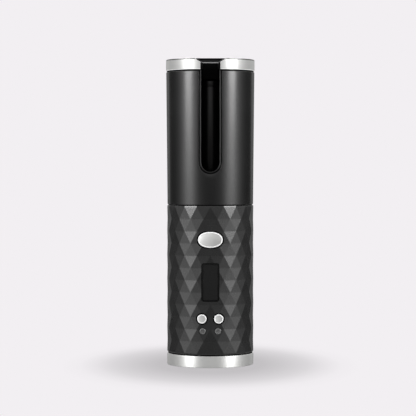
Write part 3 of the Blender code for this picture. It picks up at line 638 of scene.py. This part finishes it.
def rotor_cap():
    low, high = CAP_LOW.z, CAP_HIGH.z
    plate, bore_top, pocket_top = 198.4, 198.6, 202.0
    bore, hub_r, pocket_r, post_r = 5.3, 16.2, 13.6, 7.2
    corners = [(bore, low, 0.0), (hub_r, low, 0.3), (hub_r, plate, 0.0), (CAP_R, plate, 0.2)]
    corners += [(CAP_R, CAP_RIM_Z, 0.55), (CROWN_R, high, 3.0), (0.0, high, 0.0), (0.0, bore_top, 0.0)]
    profile = rounded(corners + [(bore, bore_top, 0.0)], 6)
    cap = lathe("rotor_cap_fine", profile, [CAP, CAP_EDGE_PAINTED_HIGHLIGHT])
    below = low - 2.0
    section = [(post_r, below), (pocket_r, below), (pocket_r, pocket_top), (post_r, pocket_top)]
    pocket = lathe("hub_pocket", section, [], 96)
    carve(cap, notch_tool("cap_tool", NOTCH_BACK_HALF, FLARE_HALF, 0.2), pocket)
    show(cap, "rotor", "black_casing", "rotor_cap")


def rotor_cage():
    """Smooth wall with hooked leading edges on its full lower ring."""
    low, high = limits("rotor_cage")
    ring_r, bore, ring_top = high.x, 24.1, 120.6
    wall_foot = ring_top + 0.1
    wall_outer, wall_inner, hook_inner = 25.4, 24.4, 22.6
    section = [(bore, low.z, 0.2), (ring_r, low.z, 0.2), (ring_r, ring_top, 0.3), (bore, ring_top, 0.3)]
    show(lathe("rotor_cage_ring", rounded(section, 4), [INSIDE]), "rotor", "dark_plastic")
    start, end, hook = math.radians(55.0), math.radians(305.0), math.radians(5.0)

    def arc(radius, first, last, steps):
        return [(radius, first + (last - first) * step / steps) for step in range(steps + 1)]

    outline = arc(wall_outer, start, end, 120) + arc(hook_inner, end, end - hook, 6)
    outline += arc(wall_inner, end - hook, start + hook, 120) + arc(hook_inner, start + hook, start, 6)
    rings = [[polar(radius, angle, z) for radius, angle in outline] for z in (wall_foot, high.z)]
    wall = stack("rotor_cage_wall", rings, [INSIDE])
    show(wall, "rotor", "dark_plastic", "rotor_cage")


def heater():
    low, high = limits("heating_barrel")
    radius, bore = high.x, 10.8
    corners = [(bore, low.z, 0.0), (radius, low.z, 0.3), (radius, high.z, 0.15), (bore, high.z, 0.0)]
    show(lathe("heating_barrel_fine", rounded(corners, 4), [CERAMIC]), "housing", "black_ceramic",
         "heating_barrel")
    low, high = limits("barrel_tip")
    shoulder = 191.4
    corners = [(10.4, low.z, 0.3), (10.4, 187.3, 0.0), (radius, 187.3, 0.15), (radius, shoulder, 0.9)]
    corners += [(3.0, shoulder, 0.3), (3.0, high.z, 0.4)]
    profile = [(0.0, low.z)] + rounded([(0.0, low.z, 0.0)] + corners + [(0.0, high.z, 0.0)], 8)[1:]
    show(lathe("barrel_tip_fine", profile, [CERAMIC]), "housing", "black_ceramic", "barrel_tip")


# ---- handle ----------------------------------------------------------------------------------
def facet_ring(radius, z, shifted):
    step = 2 * math.pi / FACET_COLUMNS
    first = step / 2 if shifted else 0.0
    return [polar(radius, first + step * k, z) for k in range(FACET_COLUMNS)]


def faceted_column(edge, slant, soften):
    """Solid column with triangular facets; every facet edge is softened by a narrow bevel.

    Its ends are chamfered by edge along Z and by slant across.
    """
    top = HANDLE_HIGH.z + HANDLE_TOP_LIFT
    low, high = HANDLE_LOW.z + edge, top - edge
    rings = [facet_ring(FACET_LOW_R - slant, HANDLE_LOW.z, False)]
    for row in range(FACET_ROWS + 1):
        odd = row % 2 == 1
        z = low + (high - low) * row / FACET_ROWS
        rings.append(facet_ring(FACET_HIGH_R if odd else FACET_LOW_R, z, odd))
    rings.append(facet_ring(FACET_LOW_R - slant, top, False))

    count = FACET_COLUMNS
    bm = bmesh.new()
    verts = [bm.verts.new([value * MM for value in point]) for ring in rings for point in ring]
    faces = [list(range(count)), list(range(len(verts) - count, len(verts)))]
    for row in range(len(rings) - 1):
        lower, upper = row * count, (row + 1) * count
        for k in range(count):
            after = (k + 1) % count
            if row in (0, len(rings) - 2):
                faces.append([lower + k, lower + after, upper + after, upper + k])
            elif row % 2 == 0:
                faces.append([lower + k, upper + after, upper + k])
                faces.append([lower + k, lower + after, upper + after])
            else:
                faces.append([lower + k, lower + after, upper + k])
                faces.append([lower + after, upper + after, upper + k])
    for corners in faces:
        bm.faces.new([verts[index] for index in corners])
    bmesh.ops.recalc_face_normals(bm, faces=bm.faces)
    bmesh.ops.bevel(bm, geom=list(bm.edges), offset=soften * MM, offset_type="OFFSET", segments=2,
                    profile=0.5, affect="EDGES", clamp_overlap=True)
    mesh = bpy.data.meshes.new("handle_shell_fine")
    bm.to_mesh(mesh)
    bm.free()
    mesh.materials.append(HANDLE)
    obj = bpy.data.objects.new("handle_shell_fine", mesh)
    bpy.context.scene.collection.objects.link(obj)
    return obj


def handle_shell():
    shell = faceted_column(0.7, 0.22, 0.14)
    bore = lathe("bore", [(0.0, 0.0), (HANDLE_BORE_R, 0.0), (HANDLE_BORE_R, 120.0), (0.0, 120.0)], [])
    low, high = limits("direction_rocker")
    centre_z = (low.z + high.z) / 2
    gap = 1.2
    outline = superellipse(high.x - low.x + gap, high.z - low.z + gap, centre=(0.0, centre_z))
    front = (-33.0, -20.0)
    tools = [bore, pushed("rocker_tool", outline, *front)]
    low, high = limits("display_window")
    outline = rounded_rectangle(high.x - low.x + 1.5, high.z - low.z + 0.6, 1.7, (0.0, (low.z + high.z) / 2))
    tools.append(pushed("window_tool", outline, *front))
    for name, radius in (("timer_button", BUTTON_R + 0.9), ("temperature_button", BUTTON_R + 0.9),
                         ("indicator_lens_left", LENS_R + 0.25), ("indicator_lens_right", LENS_R + 0.25)):
        low, high = limits(name)
        centre = ((low.x + high.x) / 2, (low.z + high.z) / 2)
        tools.append(pushed(name + "_tool", circle(radius, centre), *front))
    carve(shell, *tools, sharp_degrees=3.0)
    show(shell, "housing", "black_casing", "handle_shell")
    seam_low = HANDLE_HIGH.z + HANDLE_TOP_LIFT - SEAM_OVERLAP
    seam_high = BARREL_LOW.z + BARREL_FOOT_LIFT + SEAM_OVERLAP
    seam_shade_band("handle_seam", seam_low, seam_high, HANDLE_SEAM_R)


def base_ring():
    low, high = BASE_LOW.z, BASE_HIGH.z - BASE_TOP_DROP
    radius = BASE_HIGH.x
    corners = [(25.9, low, 0.3), (radius, low, 0.65), (radius, high, 0.5), (HANDLE_BORE_R, high, 0.0)]
    corners += [(HANDLE_BORE_R, 1.2, 0.0), (25.9, 1.2, 0.2)]
    ring = lathe("base_ring_fine", rounded(corners, 6), [RING_SILVER])
    show(ring, "housing", "brushed_silver", "base_ring")
    seam_shade_band("base_seam", high - SEAM_OVERLAP, HANDLE_LOW.z + SEAM_OVERLAP, radius - 0.7)


# ---- controls --------------------------------------------------------------------------------
def direction_rocker():
    """Oval cap, bowed a little across: polished rim in light diffuse silver as a painted highlight, fine
    groove, brushed and domed centre with painted shade towards +X.
    """
    low, high = limits("direction_rocker")
    width, height = high.x - low.x - 0.5, high.z - low.z - 0.3
    centre_z = (low.z + high.z) / 2
    face_y = low.y
    bow = 60.0
    back_y = -25.6

    def ring(inset, sink):
        outline = superellipse(width - 2 * inset, height - 2 * inset, power=2.15)
        return [(x, face_y + bow - math.sqrt(bow * bow - x * x) + sink, z + centre_z) for x, z in outline]

    rings = [[(x, back_y, z + centre_z) for x, z in superellipse(width, height, power=2.15)]]
    rim = [(0.0, 0.80), (0.04, 0.50), (0.14, 0.34), (0.28, 0.24), (0.66, 0.24), (0.74, 0.34)]
    rings += [ring(inset, sink) for inset, sink in rim]
    dome = [(0.90, 0.36), (0.98, 0.27), (1.8, 0.17), (2.8, 0.08), (3.8, 0.02), (4.8, 0.0)]
    rings += [ring(inset, sink) for inset, sink in dome]
    slots = [0] * len(rim) + [1] * len(dome)
    face = stack("direction_rocker_fine", rings, [RIM_SILVER_PAINTED_HIGHLIGHT, BUTTON_SILVER], slots)
    show(face, "rocker", "brushed_silver", "direction_rocker")


def push_button(name, body):
    """Round button: narrow polished rim in light diffuse silver as a painted highlight, fine groove, brushed
    dished face with painted shade towards +X, black body with a flange.
    """
    low, high = limits(name)
    x, z = (low.x + high.x) / 2, (low.z + high.z) / 2
    face = low.y
    dish = [(0.0, face + 0.14), (1.3, face + 0.11), (2.30, face + 0.06), (2.40, face + 0.16)]
    rim = [(2.48, face + 0.16), (2.54, face + 0.01), (2.82, face + 0.01), (2.96, face + 0.12)]
    shank = [(BUTTON_R, face + 0.40), (BUTTON_R, face + 4.9), (4.5, face + 4.9), (4.5, face + 5.7)]
    stem = [(1.5, face + 5.7), (1.5, high.y), (0.0, high.y)]
    bands = [1] * (len(dish) - 1) + [0] * (len(rim) + 1) + [2] * (len(shank) + len(stem) - 1)
    piece = lathe(name + "_fine", dish + rim + shank + stem, [RIM_SILVER_PAINTED_HIGHLIGHT, BUTTON_SILVER, INSIDE], 96, "Y",
                  (x, 0.0, z), bands)
    show(piece, body, "brushed_silver", name)


def indicator_lens(name):
    low, high = limits(name)
    x, z = (low.x + high.x) / 2, (low.z + high.z) / 2
    face = low.y
    profile = [(0.0, face + 0.45), (0.7, face + 0.42), (1.15, face + 0.28), (1.3, face + 0.10)]
    ring = [(1.42, face), (1.75, face + 0.02), (1.95, face + 0.16), (LENS_R, face + 0.4)]
    stem = [(LENS_R, -24.6), (2.7, -24.6), (2.7, -23.4), (LENS_R, -23.4), (LENS_R, high.y), (0.0, high.y)]
    bands = [1, 1, 1] + [0] * (len(ring) + len(stem))
    piece = lathe(name + "_fine", profile + ring + stem, [LENS, LENS_CORE], 64, "Y", (x, 0.0, z), bands)
    show(piece, "housing", "lens_plastic", name)


def display_window():
    low, high = limits("display_window")
    width, height = high.x - low.x + 0.7, high.z - low.z
    centre = (0.0, (low.z + high.z) / 2)

    def ring(inset, y):
        outline = rounded_rectangle(width - 2 * inset, height - 2 * inset, 1.3 - inset, centre)
        return [(x, y, z) for x, z in outline]

    rings = [ring(0.0, high.y), ring(0.0, low.y + 0.45), ring(0.06, low.y + 0.40), ring(0.55, low.y + 0.34)]
    rings += [ring(0.62, low.y + 0.30), ring(0.72, low.y + 0.05), ring(0.80, low.y)]
    show(stack("display_window_fine", rings, [WINDOW]), "housing", "window_glass", "display_window")


# ---- studio ----------------------------------------------------------------------------------
PAPER = (0.888, 0.863, 0.888)   # the pale backdrop and floor, linear
CAMERA_DISTANCE = 1.291
CAMERA_HEIGHT = 0.1370
AIM = (-0.00155, 0.0, 0.1055)
LENS_MM = 165.3
# brightness of the room at eye level, by degrees from the front
PANELS = [(0.0, 0.21), (10.0, 0.27), (21.0, 0.42), (32.0, 0.60), (41.0, 1.6), (48.0, 2.65), (56.0, 2.9),
          (65.0, 2.65), (73.0, 1.9), (82.0, 1.0), (92.0, 0.42), (108.0, 0.13), (135.0, 0.06), (141.0, 0.42),
          (149.0, 0.45), (156.0, 0.12), (168.0, 0.3), (180.0, 0.5)]
PANEL_PEAK = 2.9
PANEL_EDGE = (0.16, 0.42)       # heights (as sines) between which the panels fade out
PANEL_FADE = (0.0, 2.4)         # factors on the panels' brightness at the fade's lower and upper end
PANEL_FADE_HEIGHT = 0.3         # height (as a sine) of those ends below and above eye level
ROOM_LEVEL = 0.62               # brightness above and below the panels
# the floor's shadow: half sizes of its ellipse, and the paper's brightness by distance in those sizes
SHADOW_REACH = (0.084, 0.138, 1.0)
SHADOW_END = 1.4
SHADOW = [(0.0, 0.60), (0.42, 0.615), (0.62, 0.705), (0.78, 0.79), (0.92, 0.90), (1.05, 0.975), (1.2, 1.0)]


def look_at(obj, target):
    obj.rotation_euler = (Vector(target) - obj.location).to_track_quat("-Z", "Y").to_euler()


def camera():
    data = bpy.data.cameras.new("camera")
    data.lens = LENS_MM
    data.sensor_width = 36.0
    data.clip_end = 20.0
    obj = bpy.data.objects.new("camera", data)
    bpy.context.scene.collection.objects.link(obj)
    obj.location = (AIM[0], -CAMERA_DISTANCE, CAMERA_HEIGHT)
    look_at(obj, AIM)
    bpy.context.scene.camera = obj


def softbox(name, azimuth, distance, height, size, power):
    """Area light at an azimuth counted from the front, aimed at the middle of the curler."""
    data = bpy.data.lights.new(name, "AREA")
    data.shape = "RECTANGLE"
    data.size, data.size_y = size
    data.energy = power
    obj = bpy.data.objects.new(name, data)
    bpy.context.scene.collection.objects.link(obj)
    angle = math.radians(azimuth)
    obj.location = (distance * math.sin(angle), -distance * math.cos(angle), height)
    look_at(obj, (0.0, 0.0, height))
    obj.visible_camera = False
    return obj


def lights():
    for side in (-1, 1):
        softbox(f"key_{side}", side * 58.0, 0.9, 0.475, (0.30, 0.55), 8.6)
        edge = softbox(f"edge_{side}", side * 115.0, 0.45, 0.88, (0.3, 0.3), 6.0)
        look_at(edge, (0.0, 0.0, 0.1))
    softbox("front", 0.0, 0.9, 0.42, (0.25, 0.40), 0.25)


def world():
    """Camera rays see plain paper; other rays see a room with tall lit panels round the curler."""
    made = bpy.data.worlds.new("studio")
    bpy.context.scene.world = made
    made.use_nodes = True
    tree = made.node_tree
    room = tree.nodes["Background"]
    paper = node(tree, "ShaderNodeBackground")
    paper.inputs["Color"].default_value = (*PAPER, 1.0)
    direction = node(tree, "ShaderNodeTexCoord").outputs["Generated"]
    parts = node(tree, "ShaderNodeSeparateXYZ")
    tree.links.new(direction, parts.inputs[0])
    aside = node(tree, "ShaderNodeMath", operation="ABSOLUTE")
    tree.links.new(parts.outputs["X"], aside.inputs[0])
    ahead = node(tree, "ShaderNodeMath", operation="MULTIPLY")
    tree.links.new(parts.outputs["Y"], ahead.inputs[0])
    ahead.inputs[1].default_value = -1.0
    turn = node(tree, "ShaderNodeMath", operation="ARCTAN2")
    tree.links.new(aside.outputs[0], turn.inputs[0])
    tree.links.new(ahead.outputs[0], turn.inputs[1])
    ramp = node(tree, "ShaderNodeValToRGB")
    while len(ramp.color_ramp.elements) < len(PANELS):
        ramp.color_ramp.elements.new(0.5)
    for element, (degrees, level) in zip(ramp.color_ramp.elements, PANELS):
        element.position = degrees / 180.0
        element.color = (level / PANEL_PEAK, level / PANEL_PEAK, level / PANEL_PEAK, 1.0)
    tree.links.new(remap(tree, turn.outputs[0], 0.0, 1.0, 0.0, math.pi), ramp.inputs["Fac"])
    around = node(tree, "ShaderNodeVectorMath", operation="SCALE")
    tree.links.new(ramp.outputs["Color"], around.inputs[0])
    fade = [PANEL_PEAK * share for share in PANEL_FADE]
    faded = remap(tree, parts.outputs["Z"], *fade, -PANEL_FADE_HEIGHT, PANEL_FADE_HEIGHT)
    tree.links.new(faded, around.inputs["Scale"])
    height = node(tree, "ShaderNodeMath", operation="ABSOLUTE")
    tree.links.new(parts.outputs["Z"], height.inputs[0])
    away = remap(tree, height.outputs[0], 0.0, 1.0, *PANEL_EDGE)
    mixed = node(tree, "ShaderNodeMix", data_type="VECTOR")
    tree.links.new(away, mixed.inputs[0])
    vectors = [socket for socket in mixed.inputs if socket.type == "VECTOR" and socket.enabled]
    tree.links.new(around.outputs["Vector"], vectors[-2])
    vectors[-1].default_value = (ROOM_LEVEL, ROOM_LEVEL, ROOM_LEVEL)
    results = [socket for socket in mixed.outputs if socket.type == "VECTOR" and socket.enabled]
    tree.links.new(results[0], room.inputs["Color"])
    mix = node(tree, "ShaderNodeMixShader")
    tree.links.new(node(tree, "ShaderNodeLightPath").outputs["Is Camera Ray"], mix.inputs["Fac"])
    tree.links.new(room.outputs["Background"], mix.inputs[1])
    tree.links.new(paper.outputs["Background"], mix.inputs[2])
    tree.links.new(mix.outputs["Shader"], tree.nodes["World Output"].inputs["Surface"])


def floor():
    """Pale floor in the paper's colour with one soft shadow round the curler's foot."""
    size = 3.0
    points = [(-size, -size, 0.0), (size, -size, 0.0), (size, size, 0.0), (-size, size, 0.0)]
    mesh = bpy.data.meshes.new("floor")
    mesh.from_pydata(points, [], [(0, 1, 2, 3)])
    obj = bpy.data.objects.new("floor", mesh)
    bpy.context.scene.collection.objects.link(obj)
    mat, tree, shader = new_material("floor_paper")
    tree.nodes.remove(shader)
    spread = stretch(tree, object_coordinates(tree), [1.0 / reach for reach in SHADOW_REACH])
    length = node(tree, "ShaderNodeVectorMath", operation="LENGTH")
    tree.links.new(spread, length.inputs[0])
    ramp = node(tree, "ShaderNodeValToRGB")
    while len(ramp.color_ramp.elements) < len(SHADOW):
        ramp.color_ramp.elements.new(0.5)
    for element, (place, level) in zip(ramp.color_ramp.elements, SHADOW):
        element.position = place / SHADOW_END
        element.color = tuple(level * value for value in PAPER) + (1.0,)
    tree.links.new(remap(tree, length.outputs["Value"], 0.0, 1.0, 0.0, SHADOW_END), ramp.inputs["Fac"])
    glow = node(tree, "ShaderNodeEmission")
    tree.links.new(ramp.outputs["Color"], glow.inputs["Color"])
    tree.links.new(glow.outputs["Emission"], tree.nodes["Material Output"].inputs["Surface"])
    mesh.materials.append(mat)
    obj.visible_diffuse = False
    obj.visible_glossy = False
    obj.visible_shadow = False


def dress_cad_nodes():
    """Each CAD node that still shows takes the procedural material of its slot."""
    slots = {part["node"]: part["material_slot"] for part in frame["record"]["subparts"]}
    for name, obj in frame["nodes"].items():
        obj.data.materials.clear()
        obj.data.materials.append(SLOT_MATERIALS[slots[name]])


def build():
    dress_cad_nodes()
    barrel_shell()
    chamber_liner()
    top_ring()
    rotor_cap()
    rotor_cage()
    heater()
    handle_shell()
    base_ring()
    direction_rocker()
    push_button("timer_button", "timer")
    push_button("temperature_button", "temperature")
    indicator_lens("indicator_lens_left")
    indicator_lens("indicator_lens_right")
    display_window()
    floor()
    world()
    lights()
    camera()
    bpy.context.scene.view_settings.view_transform = "Standard"


build()
